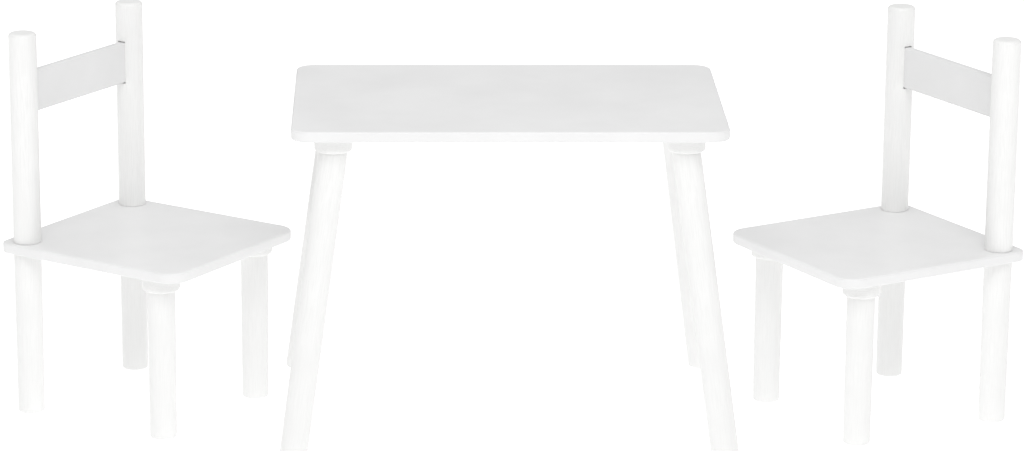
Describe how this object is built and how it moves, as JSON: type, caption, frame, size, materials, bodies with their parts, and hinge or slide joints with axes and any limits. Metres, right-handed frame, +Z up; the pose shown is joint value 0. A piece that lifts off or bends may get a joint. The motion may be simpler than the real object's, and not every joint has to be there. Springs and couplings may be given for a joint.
{
  "type": "kids table and chairs",
  "caption": "Low white table on splayed round legs with matching white chairs, each with a flat board seat, round posts and a single back rail.",
  "frame": {"origin": "on the floor, at the middle of the whole set", "axes": "+Z up; the table's long side faces -Y; +X to the right, towards the right-hand chair"},
  "size_m": [1.453, 0.544, 0.56],
  "materials": {
    "board_lacquer": "satin white lacquer on fibreboard",
    "rail_lacquer": "satin white lacquer on fibreboard",
    "leg_paint": "satin white paint on turned wood",
    "collar_paint": "satin white paint on turned wood",
    "zinc_steel": "zinc-plated steel"
  },
  "bodies": {
    "table": {"table_top": "board_lacquer", "table_leg_front_left": "leg_paint", "table_leg_front_right": "leg_paint", "table_leg_rear_left": "leg_paint", "table_leg_rear_right": "leg_paint", "table_collar_front_left": "collar_paint", "table_collar_front_right": "collar_paint", "table_collar_rear_left": "collar_paint", "table_collar_rear_right": "collar_paint", "table_collar_screws": "zinc_steel", "table_hanger_bolts": "zinc_steel", "table_inserts": "zinc_steel"},
    "left_chair": {"left_chair_seat": "board_lacquer", "left_chair_back_rail": "rail_lacquer", "left_chair_post_left": "leg_paint", "left_chair_post_right": "leg_paint", "left_chair_rear_leg_left": "leg_paint", "left_chair_rear_leg_right": "leg_paint", "left_chair_front_leg_left": "leg_paint", "left_chair_front_leg_right": "leg_paint", "left_chair_collar_left": "collar_paint", "left_chair_collar_right": "collar_paint", "left_chair_collar_screws": "zinc_steel", "left_chair_hanger_bolts": "zinc_steel", "left_chair_inserts": "zinc_steel", "left_chair_seat_studs": "zinc_steel", "left_chair_rail_screws": "zinc_steel"},
    "right_chair": {"right_chair_seat": "board_lacquer", "right_chair_back_rail": "rail_lacquer", "right_chair_post_left": "leg_paint", "right_chair_post_right": "leg_paint", "right_chair_rear_leg_left": "leg_paint", "right_chair_rear_leg_right": "leg_paint", "right_chair_front_leg_left": "leg_paint", "right_chair_front_leg_right": "leg_paint", "right_chair_collar_left": "collar_paint", "right_chair_collar_right": "collar_paint", "right_chair_collar_screws": "zinc_steel", "right_chair_hanger_bolts": "zinc_steel", "right_chair_inserts": "zinc_steel", "right_chair_seat_studs": "zinc_steel", "right_chair_rail_screws": "zinc_steel"}
  },
  "joints": [
    {"name": "left_chair_slide", "type": "slide", "parent": "table", "child": "left_chair", "axis": [0.832, -0.5548, 0], "range_m": [-0.3, 0.12]},
    {"name": "right_chair_slide", "type": "slide", "parent": "table", "child": "right_chair", "axis": [-0.8704, -0.4924, 0], "range_m": [-0.3, 0.12]}
  ]
}
